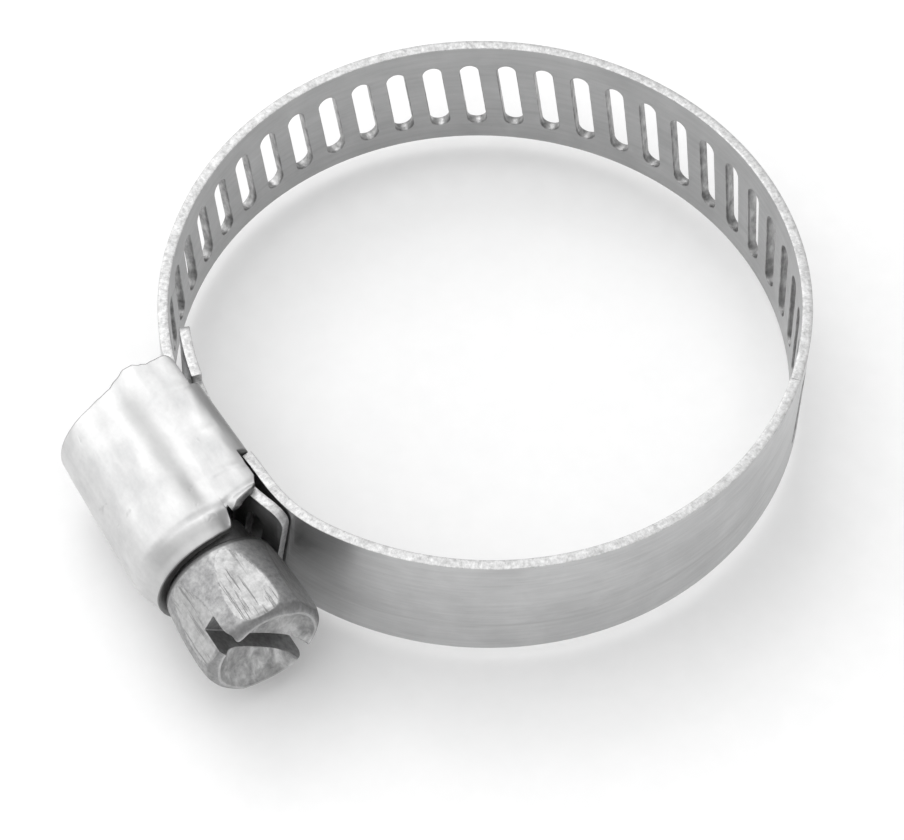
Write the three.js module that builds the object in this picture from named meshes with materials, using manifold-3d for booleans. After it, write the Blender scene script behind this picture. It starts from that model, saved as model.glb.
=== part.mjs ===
// Worm-drive hose clamp: one slotted band, one folded housing, one worm screw.
//
// Millimetres, +Z up. The origin is the centre of the ring, half way across the
// band's width, and Z is the axis of the hose it closes on. The housing sits at
// -Y and the screw lies along X with its head towards +X. Positive azimuth runs
// anticlockwise seen from +Z. The band is thin spring strip: it is drawn here as
// a run of arcs with a pivot between each two, so that it can close and open.
import * as THREE from 'three';
import { mergeVertices } from 'three/addons/utils/BufferGeometryUtils.js';
import Module from 'manifold-3d';

const wasm = await Module();
wasm.setup();

// ---------------------------------------------------------------- dimensions
const BAND_W = 7.94;          // band width, 5/16 in
const BAND_T = 0.58;          // strip thickness
const RING_R = 17.38;         // middle of the strip, round part of the ring
const PITCH = 2.1655;         // slot pitch along the middle of the strip
const SLOT_W = 1.10;          // slot width along the band
const SLOT_L = 5.20;          // slot length across the band
const SLOT_Z = -0.18;         // slot centre below the middle of the band
const SLOT_LEAN = 7.8;        // degrees, the worm's lead angle
const GAP = 0.30;             // clearance between neighbouring arcs at a pivot

const SCREW_Y = -20.24;       // screw axis
const WORM_R = 2.95;          // thread crest radius
const ROOT_R = 2.08;          // thread root radius
const WORM_X0 = -4.15;        // thread start (rear)
const WORM_X1 = 4.25;         // thread end (front)
const HEX_AF = 6.35;          // 1/4 in across the driving flats
const HEAD_X0 = 6.28;         // rear edge of the head
const HEAD_X1 = 11.60;        // front rim of the head
const DRIVER_W = 0.95;        // screwdriver slot width
const DRIVER_D = 2.05;        // screwdriver slot depth
const DRIVER_ANG = 42.5;      // screwdriver slot direction about the screw axis

const HOUSING_X0 = -4.80;     // rear edge of the housing
const HOUSING_X1 = 4.95;      // front edge of the flanges
const COLLAR_X1 = 5.85;       // front edge of the collar round the screw neck
const DOME_R0 = 3.64;         // outside radius over the screw, rear
const DOME_R1 = 3.95;         // outside radius over the screw, front
const SHEET_T = 0.56;         // housing sheet thickness
const FLANGE_Z = 4.66;        // outside face of each flange
const LUG_X0 = -2.55, LUG_X1 = 2.35;       // lugs folded under the band's edges
const NOTCH_X0 = -3.15, NOTCH_X1 = 2.65;   // notches in the band's edges for the lugs

// arcs of the band, azimuths in degrees
const FEED_C = [0.478, 0.070], FEED_R = 17.807;  // centre and radius of the run through the housing
const SLOT0 = 229.56;         // azimuth of the first slot behind the housing
const STEP = 7.139;           // slot spacing round the ring
const AZ_FEED = SLOT0 - STEP / 2;          // feed run | slotted arc 1
const AZ_A12 = AZ_FEED - 6 * STEP;         // slotted arc 1 | 2
const AZ_A23 = AZ_A12 - 7 * STEP;          // slotted arc 2 | 3
const AZ_A34 = AZ_A23 - 7 * STEP;          // slotted arc 3 | 4
const AZ_OPEN = AZ_A34 - 6 * STEP;         // slotted arc 4 | plain arc 2
const AZ_B12 = 349.0 - 360;                // plain arc 2 | 1
const AZ_FIX = 303.0 - 360;                // plain arc 1 | fixed end
const TAIL_AZ = 291.7;        // tip of the slotted tail

// ------------------------------------------------------------------- helpers
const rad = (d) => d * Math.PI / 180;
const halfGap = (r) => GAP / 2 / r * 180 / Math.PI;

function toSolid(geometry) {
  let g = geometry.clone();
  for (const n of Object.keys(g.attributes)) if (n !== 'position') g.deleteAttribute(n);
  g = mergeVertices(g, 1e-4);
  const tri = [];
  const ix = g.index.array;
  for (let i = 0; i < ix.length; i += 3) {
    const [a, b, c] = [ix[i], ix[i + 1], ix[i + 2]];
    if (a !== b && b !== c && a !== c) tri.push(a, b, c);
  }
  // a mirrored outline is turned the right way out
  const p = g.attributes.position.array;
  let volume = 0;
  for (let i = 0; i < tri.length; i += 3) {
    const [a, b, c] = [tri[i] * 3, tri[i + 1] * 3, tri[i + 2] * 3];
    volume += p[a] * (p[b + 1] * p[c + 2] - p[b + 2] * p[c + 1])
      - p[a + 1] * (p[b] * p[c + 2] - p[b + 2] * p[c])
      + p[a + 2] * (p[b] * p[c + 1] - p[b + 1] * p[c]);
  }
  if (volume < 0) for (let i = 0; i < tri.length; i += 3) [tri[i + 1], tri[i + 2]] = [tri[i + 2], tri[i + 1]];
  return new wasm.Manifold(new wasm.Mesh({
    numProp: 3,
    vertProperties: new Float32Array(g.attributes.position.array),
    triVerts: new Uint32Array(tri),
  }));
}

function toMesh(name, body, material) {
  const m = body.getMesh();
  const g = new THREE.BufferGeometry();
  g.setAttribute('position', new THREE.BufferAttribute(new Float32Array(m.vertProperties), 3));
  g.setIndex(new THREE.BufferAttribute(new Uint32Array(m.triVerts), 1));
  const flat = g.toNonIndexed();
  flat.computeVertexNormals();
  const mesh = new THREE.Mesh(flat, material);
  mesh.name = name;
  return mesh;
}

function remap(geometry, fn) {
  const g = geometry.clone(), p = g.attributes.position, v = new THREE.Vector3();
  for (let i = 0; i < p.count; i++) {
    v.fromBufferAttribute(p, i);
    const [x, y, z] = fn(v.x, v.y, v.z);
    p.setXYZ(i, x, y, z);
  }
  return g;
}

function shapeOf(points) {
  return new THREE.Shape(points.map(([x, y]) => new THREE.Vector2(x, y)));
}

// A closed outline in the XY plane, raised over the band's width.
function strip(points, z0 = -BAND_W / 2, z1 = BAND_W / 2) {
  const g = new THREE.ExtrudeGeometry(shapeOf(points), { depth: z1 - z0, bevelEnabled: false, steps: 1 });
  g.translate(0, 0, z0);
  return toSolid(g);
}

// Ribbon of thickness BAND_T along a centre line given as [radius, azimuth] about c.
function ribbonOutline(line) {
  const out = [], inn = [];
  line.forEach(([x, y], i) => {
    const a = line[Math.max(i - 1, 0)], b = line[Math.min(i + 1, line.length - 1)];
    const dx = b[0] - a[0], dy = b[1] - a[1], l = Math.hypot(dx, dy);
    const nx = dy / l, ny = -dx / l;           // outward for an anticlockwise run
    out.push([x + nx * BAND_T / 2, y + ny * BAND_T / 2]);
    inn.push([x - nx * BAND_T / 2, y - ny * BAND_T / 2]);
  });
  return out.concat(inn.reverse());
}

function arcLine(c, r, a0, a1, step = 3.6) {
  const n = Math.max(2, Math.ceil((a1 - a0) / step));
  const pts = [];
  for (let i = 0; i <= n; i++) {
    const a = rad(a0 + (a1 - a0) * i / n);
    pts.push([c[0] + r * Math.cos(a), c[1] + r * Math.sin(a)]);
  }
  return pts;
}

// One leaning slot, cut straight through along the radius at azimuth az about c.
function slotCutter(c, az, r) {
  const pts = [], R = SLOT_W / 2, h = SLOT_L / 2 - R;
  for (let i = 0; i <= 4; i++) { const a = Math.PI * i / 4; pts.push([R * Math.cos(a), h + R * Math.sin(a)]); }
  for (let i = 0; i <= 4; i++) { const a = Math.PI + Math.PI * i / 4; pts.push([R * Math.cos(a), -h + R * Math.sin(a)]); }
  const lean = rad(SLOT_LEAN), ca = Math.cos(rad(az)), sa = Math.sin(rad(az));
  const g = new THREE.ExtrudeGeometry(shapeOf(pts), { depth: 2.4, bevelEnabled: false, steps: 1 });
  return toSolid(remap(g, (sx, sy, sz) => {
    const t = sx * Math.cos(lean) + sy * Math.sin(lean);
    const z = -sx * Math.sin(lean) + sy * Math.cos(lean) + SLOT_Z;
    const q = r - 1.2 + sz;
    return [c[0] + q * ca - t * sa, c[1] + q * sa + t * ca, z];
  }));
}

function box(x0, x1, y0, y1, z0, z1) {
  const g = new THREE.BoxGeometry(x1 - x0, y1 - y0, z1 - z0);
  g.translate((x0 + x1) / 2, (y0 + y1) / 2, (z0 + z1) / 2);
  return toSolid(g);
}

// ------------------------------------------------------------------ materials
const steel = (color, roughness, metalness = 0.95) =>
  new THREE.MeshStandardMaterial({ color, roughness, metalness });
const bandSteel = steel(0xc6c8c9, 0.34);
const housingSteel = steel(0xe2e3e3, 0.46);
const screwSteel = steel(0xa9aaab, 0.55);

// ----------------------------------------------------------------------- band
const O = [0, 0];

// azimuth about the feed run's own centre for a point seen at azimuth az from the origin
function feedAngle(az) {
  let lo = az - 12, hi = az + 12;
  for (let i = 0; i < 60; i++) {
    const m = (lo + hi) / 2;
    const x = FEED_C[0] + FEED_R * Math.cos(rad(m)), y = FEED_C[1] + FEED_R * Math.sin(rad(m));
    let a = Math.atan2(y, x) * 180 / Math.PI;
    while (a < az - 180) a += 360;
    while (a > az + 180) a -= 360;
    if (a < az) lo = m; else hi = m;
  }
  return (lo + hi) / 2;
}

function ringArc(a0, a1, slotFirst, slotCount) {
  const h = halfGap(RING_R);
  let body = strip(ribbonOutline(arcLine(O, RING_R, a0 + h, a1 - h)));
  for (let k = 0; k < slotCount; k++) body = body.subtract(slotCutter(O, slotFirst - k * STEP, RING_R));
  return body;
}

// feed run: the slotted strip through the housing, with its cut tail
const feed0 = feedAngle(AZ_FEED), feed1 = feedAngle(TAIL_AZ);
const FEED_STEP = PITCH / FEED_R * 180 / Math.PI;
const feedSlot0 = feedAngle(SLOT0);
let feedRun = strip(ribbonOutline(arcLine(FEED_C, FEED_R, feed0 + halfGap(FEED_R), feed1 + 3)));
for (let k = 0; feedSlot0 + k * FEED_STEP < feed1 - 3.5; k++) {
  feedRun = feedRun.subtract(slotCutter(FEED_C, feedSlot0 + k * FEED_STEP, FEED_R));
}
// the tail is cut off along the lean of the slots, with its corners rounded
{
  const e = rad(feed1), t = [-Math.sin(e), Math.cos(e)], n = [Math.cos(e), Math.sin(e)], lean = rad(SLOT_LEAN);
  const pts = [[4, -7], [4, 7], [-1.1, 7], [-1.1, 3.99], [-0.55, 3.86], [-0.2, 3.56], [0, 3.1],
    [0, -3.1], [-0.2, -3.56], [-0.55, -3.86], [-1.1, -3.99], [-1.1, -7]];
  const g = new THREE.ExtrudeGeometry(shapeOf(pts), { depth: 4, bevelEnabled: false, steps: 1 });
  feedRun = feedRun.subtract(toSolid(remap(g, (sx, sy, sz) => {
    const a = sx * Math.cos(lean) + sy * Math.sin(lean), z = -sx * Math.sin(lean) + sy * Math.cos(lean);
    const q = FEED_R - 2 + sz;
    return [FEED_C[0] + q * n[0] + a * t[0], FEED_C[1] + q * n[1] + a * t[1], z];
  })));
}

const slotted1 = ringArc(AZ_A12, AZ_FEED, AZ_FEED - STEP / 2, 6);
const slotted2 = ringArc(AZ_A23, AZ_A12, AZ_A12 - STEP / 2, 7);
const slotted3 = ringArc(AZ_A34, AZ_A23, AZ_A23 - STEP / 2, 7);
const slotted4 = ringArc(AZ_OPEN, AZ_A34, AZ_A34 - STEP / 2, 6);
const plain2 = ringArc(AZ_B12, AZ_OPEN, 0, 0);
const plain1 = ringArc(AZ_FIX, AZ_B12, 0, 0);

// fixed end: leaves the ring, steps in under the feed run and lies along the
// inside of the housing, where its notched edges take the housing's lugs
const fixedKeys = [
  [246.9, 16.46], [252, 16.46], [258, 16.47], [264, 16.47], [270, 16.48], [275, 16.49],
  [279, 16.52], [282, 16.62], [285, 16.82], [288, 17.03], [291, 17.20], [294, 17.31], [297.5, 17.38], [303, 17.38],
];
const fixedLine = [];
for (let a = fixedKeys[0][0]; a < 303 - halfGap(RING_R) - 0.01; a += 2.0) fixedLine.push(a);
fixedLine.push(303 - halfGap(RING_R));
const fixedPts = fixedLine.map((a) => {
  let i = 0;
  while (i < fixedKeys.length - 2 && fixedKeys[i + 1][0] < a) i++;
  const [a0, r0] = fixedKeys[i], [a1, r1] = fixedKeys[i + 1];
  const r = r0 + (r1 - r0) * (a - a0) / (a1 - a0);
  return [r * Math.cos(rad(a)), r * Math.sin(rad(a))];
});
let fixedEnd = strip(ribbonOutline(fixedPts));
for (const s of [1, -1]) {
  const z = [s * 3.32, s * 6].sort((a, b) => a - b);
  fixedEnd = fixedEnd.subtract(box(NOTCH_X0, NOTCH_X1, -18, -15, z[0], z[1]));
}

// -------------------------------------------------------------------- housing
// Section across the screw: w is Z, v is the distance outwards (-Y). The sheet
// goes over the screw as a dome and flares out round the band's edges.
function housingSection(R, t) {
  const outer = [], inner = [];
  const vs = -SCREW_Y, n = 9;
  for (let i = 0; i <= n; i++) {
    const a = rad(90 - 92 * i / n);
    outer.push([R * Math.cos(a), vs + R * Math.sin(a)]);
    inner.push([(R - t) * Math.cos(a), vs + (R - t) * Math.sin(a)]);
  }
  outer.push([R + 0.05, vs - 0.9], [(R + FLANGE_Z) / 2 - 0.05, vs - 1.35], [FLANGE_Z - 0.12, vs - 1.85], [FLANGE_Z, vs - 2.3], [FLANGE_Z, 16.72]);
  inner.push([R - t + 0.02, vs - 1.1], [(R + FLANGE_Z) / 2 - t + 0.02, vs - 1.62], [FLANGE_Z - t - 0.02, vs - 2.02], [FLANGE_Z - 0.53, vs - 2.4], [FLANGE_Z - 0.53, 16.72]);
  const mirror = (pts) => pts.slice(1).map(([w, v]) => [-w, v]).reverse();
  return mirror(outer).concat(outer, inner.slice(1).reverse(), [inner[0]], inner.slice(1).map(([w, v]) => [-w, v]));
}

function alongX(points, x0, x1, steps = 1) {
  const g = new THREE.ExtrudeGeometry(shapeOf(points), { depth: x1 - x0, bevelEnabled: false, steps });
  return toSolid(remap(g, (sx, sy, sz) => [x0 + sz, -sy, sx]));
}

// The dome tapers a little towards the rear.
const DOME_MID = (DOME_R0 + DOME_R1) / 2;
let housing = (() => {
  const g = new THREE.ExtrudeGeometry(shapeOf(housingSection(DOME_MID, SHEET_T)), { depth: HOUSING_X1 - HOUSING_X0, bevelEnabled: false, steps: 1 });
  return toSolid(remap(g, (sx, sy, sz) => {
    const k = sz / (HOUSING_X1 - HOUSING_X0), vs = -SCREW_Y;
    const R = DOME_R0 + (DOME_R1 - DOME_R0) * k;
    const f = Math.max(0, Math.min(1, (sy - vs + 1.6) / 1.2)) * (R / DOME_MID - 1);
    return [HOUSING_X0 + sz, -(vs + (sy - vs) * (1 + f)), sx * (1 + f)];
  }));
})();
// rear edge: the side walls reach a little further back than the dome and the flanges
{
  const pts = [[HOUSING_X0 - 1, -25], [HOUSING_X0 - 1, -16], [HOUSING_X0 + 0.02, -16], [HOUSING_X0 + 0.02, -20.4], [HOUSING_X0 + 0.16, -21.6], [HOUSING_X0 + 0.2, -25]];
  const g = new THREE.ExtrudeGeometry(shapeOf(pts), { depth: 10, bevelEnabled: false, steps: 1 });
  housing = housing.subtract(toSolid(remap(g, (sx, sy, sz) => [sx, sy, sz - 5])));
}
// collar: the dome drawn in round the screw's neck, open towards the band
{
  const r = 2.88, x = HOUSING_X1 - 0.35;
  const section = [[x, r], [COLLAR_X1, r], [COLLAR_X1, 3.4], [COLLAR_X1 - 0.12, 3.5], [COLLAR_X1 - 0.45, 3.66], [HOUSING_X1 + 0.1, 3.8], [x + 0.1, 3.92], [x, 3.9], [x, r]];
  const g = new THREE.LatheGeometry(section.map(([a, b]) => new THREE.Vector2(b, a)), 40);
  let ring = toSolid(remap(g, (sx, sy, sz) => [sy, sz + SCREW_Y, sx]));
  ring = ring.subtract(box(x - 1, COLLAR_X1 + 1, SCREW_Y + 1.45, SCREW_Y + 5, -5, 5));
  housing = housing.add(ring);
}
// lugs: each flange folds under the band's edge between the notches
for (const s of [1, -1]) {
  const pts = [[FLANGE_Z, 16.8], [FLANGE_Z, 16.42], [FLANGE_Z - 0.16, 16.16], [FLANGE_Z - 0.42, 16.02], [3.62, 16.02], [3.62, 16.56], [FLANGE_Z - 0.53, 16.56], [FLANGE_Z - 0.53, 16.8]]
    .map(([w, v]) => [s * w, v]);
  const g = new THREE.ExtrudeGeometry(shapeOf(pts), { depth: LUG_X1 - LUG_X0, bevelEnabled: false, steps: 1 });
  housing = housing.add(toSolid(remap(g, (sx, sy, sz) => [LUG_X0 + sz, -(sy + (sy < 16.3 ? 0.05 * sz : 0)), sx])));
}
// the flanges' free corners are rounded off
for (const s of [1, -1]) for (const [xc, dir] of [[HOUSING_X1, 1], [HOUSING_X0, -1]]) {
  const pts = [[xc + dir * 0.2, 16.4], [xc - dir * 0.75, 16.4], [xc - dir * 0.55, 16.78], [xc - dir * 0.18, 17.05], [xc, 17.45], [xc + dir * 0.2, 17.45]];
  const g = new THREE.ExtrudeGeometry(shapeOf(pts), { depth: 2, bevelEnabled: false, steps: 1 });
  housing = housing.subtract(toSolid(remap(g, (x, v, z) => [x, -v, (s > 0 ? 3.4 : -5.4) + z])));
}

// ---------------------------------------------------------------------- screw
// Built about the X axis, then moved to SCREW_Y.
function latheX(profile, seg) {
  // profile: [x, r], starting and ending on the axis
  const g = new THREE.LatheGeometry(profile.map(([x, r]) => new THREE.Vector2(Math.max(r, 0), x)), seg);
  return toSolid(remap(g, (sx, sy, sz) => [sy, sz, sx]));
}

const headProfile = [
  [HEAD_X0, 0], [HEAD_X0, 2.98], [HEAD_X0 + 0.14, 3.14], [7.2, 3.25], [8.3, 3.37], [9.4, 3.43], [10.4, 3.43],
  [11.0, 3.38], [11.4, 3.24], [HEAD_X1 - 0.08, 3.02], [HEAD_X1, 2.86], [HEAD_X1, 0],
];
let head = latheX(headProfile, 48);
{
  // driving flats, one facing +Z
  const hex = new THREE.CylinderGeometry(HEX_AF / 2 / Math.cos(Math.PI / 6), HEX_AF / 2 / Math.cos(Math.PI / 6), 10, 6);
  hex.rotateZ(-Math.PI / 2);
  hex.rotateX(0);
  hex.translate(9, 0, 0);
  const hexSolid = toSolid(hex);
  // turn the prism so that a flat faces +Z
  const bb = hexSolid.boundingBox();
  const flatUp = Math.abs(bb.max[2] - HEX_AF / 2) < 1e-3;
  head = head.intersect(flatUp ? hexSolid : toSolid(hex.clone().rotateX(Math.PI / 6)));
}
// shallow dish in the end face
{
  const dish = [];
  for (let i = 0; i <= 5; i++) {
    const r = 2.62 * i / 5;
    dish.push([HEAD_X1 - 0.62 * (1 - (i / 5) ** 2), r]);
  }
  dish.push([HEAD_X1 + 1, 2.9], [HEAD_X1 + 1, 0]);
  head = head.subtract(latheX(dish, 40));
}
// screwdriver slot
{
  const g = new THREE.BoxGeometry(DRIVER_D + 1, 9, DRIVER_W);
  g.translate(HEAD_X1 - DRIVER_D + (DRIVER_D + 1) / 2, 0, 0);
  // DRIVER_ANG is measured from outwards (-Y) towards +Z
  g.rotateX(-rad(DRIVER_ANG));
  head = head.subtract(toSolid(g));
}
// neck, worm core and pilot
const shank = latheX([
  [-4.62, 0], [-4.62, 1.25], [-4.42, 1.5], [WORM_X0 - 0.05, 1.55], [WORM_X0 + 0.45, ROOT_R], [WORM_X1 - 0.1, ROOT_R], [WORM_X1 + 0.2, 2.5],
  [5.0, 2.6], [HEAD_X0 + 0.2, 2.6], [HEAD_X0 + 0.2, 0],
], 32);
// thread: a trapezium wound on the core, right-hand, running out at both ends
const FEED_BETA_SCREW = (() => {
  // slot nearest the middle of the housing: X where it crosses Z = 0
  let best = null;
  for (let k = 0; k < 12; k++) {
    const b = rad(feedSlot0 + k * FEED_STEP);
    const x = FEED_C[0] + FEED_R * Math.cos(b) - Math.sin(b) * (-SLOT_Z) * Math.tan(rad(SLOT_LEAN));
    if (best === null || Math.abs(x) < Math.abs(best)) best = x;
  }
  return best;
})();
let thread;
{
  const crest = 0.46, base = 0.92, rIn = ROOT_R - 0.28;
  const perTurn = 22;
  // theta is measured about +X from +Y; a crest passes theta = 0 at x = phase + n * PITCH
  const phase = FEED_BETA_SCREW;
  const t0 = (WORM_X0 + 0.55 - phase) / PITCH * 2 * Math.PI;
  const t1 = (WORM_X1 - 0.55 - phase) / PITCH * 2 * Math.PI;
  const steps = Math.round((t1 - t0) / (2 * Math.PI) * perTurn);
  const prof = [[-base / 2, rIn], [base / 2, rIn], [crest / 2, WORM_R], [-crest / 2, WORM_R]];
  const g = new THREE.ExtrudeGeometry(shapeOf(prof), { depth: 1, bevelEnabled: false, steps });
  thread = toSolid(remap(g, (sx, sy, sz) => {
    const th = t0 + (t1 - t0) * sz;
    const end = Math.min(1, Math.min(sz, 1 - sz) * (t1 - t0) / (0.42 * Math.PI));
    const r = sy > ROOT_R ? ROOT_R - 0.1 + (sy - ROOT_R + 0.1) * (0.12 + 0.88 * end) : sy;
    return [phase + PITCH * th / (2 * Math.PI) + sx, r * Math.cos(th), r * Math.sin(th)];
  }));
}
let screw = head.add(shank).add(thread);
screw = screw.translate([0, SCREW_Y, 0]);

// ------------------------------------------------------------------- assembly
const clamp = new THREE.Group();
clamp.add(toMesh('housing', housing, housingSteel));
clamp.add(toMesh('worm_screw', screw, screwSteel));
clamp.add(toMesh('band_fixed_end', fixedEnd, bandSteel));
clamp.add(toMesh('band_plain_arc_1', plain1, bandSteel));
clamp.add(toMesh('band_plain_arc_2', plain2, bandSteel));
clamp.add(toMesh('band_feed_run', feedRun, bandSteel));
clamp.add(toMesh('band_slotted_arc_1', slotted1, bandSteel));
clamp.add(toMesh('band_slotted_arc_2', slotted2, bandSteel));
clamp.add(toMesh('band_slotted_arc_3', slotted3, bandSteel));
clamp.add(toMesh('band_slotted_arc_4', slotted4, bandSteel));

export default clamp;
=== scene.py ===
"""Worm-drive hose clamp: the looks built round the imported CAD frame. Lengths below are millimetres unless said otherwise."""
import math

import bmesh
import bpy
import numpy as np
from mathutils import Matrix, Vector, noise


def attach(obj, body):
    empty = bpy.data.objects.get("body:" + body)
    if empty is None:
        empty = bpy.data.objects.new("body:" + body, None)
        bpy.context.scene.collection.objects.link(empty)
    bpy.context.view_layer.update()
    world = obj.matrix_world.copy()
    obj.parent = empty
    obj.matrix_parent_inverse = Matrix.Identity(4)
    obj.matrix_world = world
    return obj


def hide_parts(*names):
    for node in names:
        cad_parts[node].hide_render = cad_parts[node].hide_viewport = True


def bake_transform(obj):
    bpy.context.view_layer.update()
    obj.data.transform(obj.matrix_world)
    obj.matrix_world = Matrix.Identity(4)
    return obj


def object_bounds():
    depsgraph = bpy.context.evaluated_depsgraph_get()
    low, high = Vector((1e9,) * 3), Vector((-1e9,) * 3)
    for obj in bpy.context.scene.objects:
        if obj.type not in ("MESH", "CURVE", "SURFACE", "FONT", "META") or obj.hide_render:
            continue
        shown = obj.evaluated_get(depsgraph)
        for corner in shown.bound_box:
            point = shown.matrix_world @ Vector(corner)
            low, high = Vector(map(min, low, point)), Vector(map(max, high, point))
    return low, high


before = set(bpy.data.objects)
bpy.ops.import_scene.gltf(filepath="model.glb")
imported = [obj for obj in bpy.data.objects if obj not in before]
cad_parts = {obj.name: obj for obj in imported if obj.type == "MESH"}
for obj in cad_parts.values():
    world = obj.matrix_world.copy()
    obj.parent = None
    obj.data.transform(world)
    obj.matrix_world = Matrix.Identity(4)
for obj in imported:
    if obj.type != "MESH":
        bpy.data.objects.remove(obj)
cad_lo, cad_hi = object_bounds()
MM = 0.001
scene = bpy.context.scene

# ------------------------------------------------------------------ dimensions (as in the CAD)
BAND_W, BAND_T, RING_R = 7.94, 0.58, 17.38
PITCH, SLOT_W, SLOT_L, SLOT_Z, LEAN = 2.1655, 1.10, 5.20, -0.18, math.radians(7.8)
SLOT0, STEP = 229.56, 7.139
AZ_FEED = SLOT0 - STEP / 2
AZ_A12, AZ_A23, AZ_A34 = AZ_FEED - 6 * STEP, AZ_FEED - 13 * STEP, AZ_FEED - 20 * STEP
AZ_OPEN = AZ_A34 - 6 * STEP
AZ_B12, AZ_FIX, TAIL_AZ = -11.0, -57.0, 291.7
FEED_C, FEED_R = (0.478, 0.070), 17.807
SCREW_Y = -20.24
HALF = BAND_W / 2


def smooth(x):
    x = min(1.0, max(0.0, x))
    return x * x * (3 - 2 * x)


def feed_r(az):
    """Radius from the ring's centre of the run through the housing."""
    a = math.radians(az)
    along = FEED_C[0] * math.cos(a) + FEED_C[1] * math.sin(a)
    across = -FEED_C[0] * math.sin(a) + FEED_C[1] * math.cos(a)
    return along + math.sqrt(FEED_R ** 2 - across ** 2)


def outer_run_r(az):
    """Middle of the strip: round ring, then the run over the fixed end."""
    w = smooth((az - 216.0) / 18.0)
    return RING_R * (1 - w) + feed_r(az) * w


FIXED = [(246.9, 16.46), (252, 16.46), (258, 16.47), (264, 16.47), (270, 16.48), (275, 16.49), (279, 16.53),
         (282, 16.63), (285, 16.81), (288, 17.01), (291, 17.18), (294, 17.30), (297.5, 17.37), (303, 17.38), (420, 17.38)]


def fixed_r(az):
    """Middle of the strip where it steps in under the run above it. az from 246.9 to 420."""
    i = 0
    while i < len(FIXED) - 2 and FIXED[i + 1][0] < az:
        i += 1
    p = [FIXED[max(i - 1, 0)], FIXED[i], FIXED[i + 1], FIXED[min(i + 2, len(FIXED) - 1)]]
    h = p[2][0] - p[1][0]
    t = min(1.0, max(0.0, (az - p[1][0]) / h))
    m1 = (p[2][1] - p[0][1]) / max(p[2][0] - p[0][0], 1e-6) * h
    m2 = (p[3][1] - p[1][1]) / max(p[3][0] - p[1][0], 1e-6) * h
    return ((2 * t ** 3 - 3 * t ** 2 + 1) * p[1][1] + (t ** 3 - 2 * t ** 2 + t) * m1
            + (-2 * t ** 3 + 3 * t ** 2) * p[2][1] + (t ** 3 - t ** 2) * m2)


# ------------------------------------------------------------------ sheet builder
class Flat:
    """A planar quad mesh in two sheet coordinates, shared points merged."""

    def __init__(self):
        self.p, self.key, self.q = [], {}, []

    def v(self, a, b):
        k = (round(a, 5), round(b, 5))
        if k not in self.key:
            self.key[k] = len(self.p)
            self.p.append((a, b))
        return self.key[k]

    def quad(self, *pts):
        ids = [self.v(*p) for p in pts]
        ids = [x for i, x in enumerate(ids) if x != ids[i - 1]]
        if len(ids) >= 3:
            self.q.append(ids)


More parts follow.
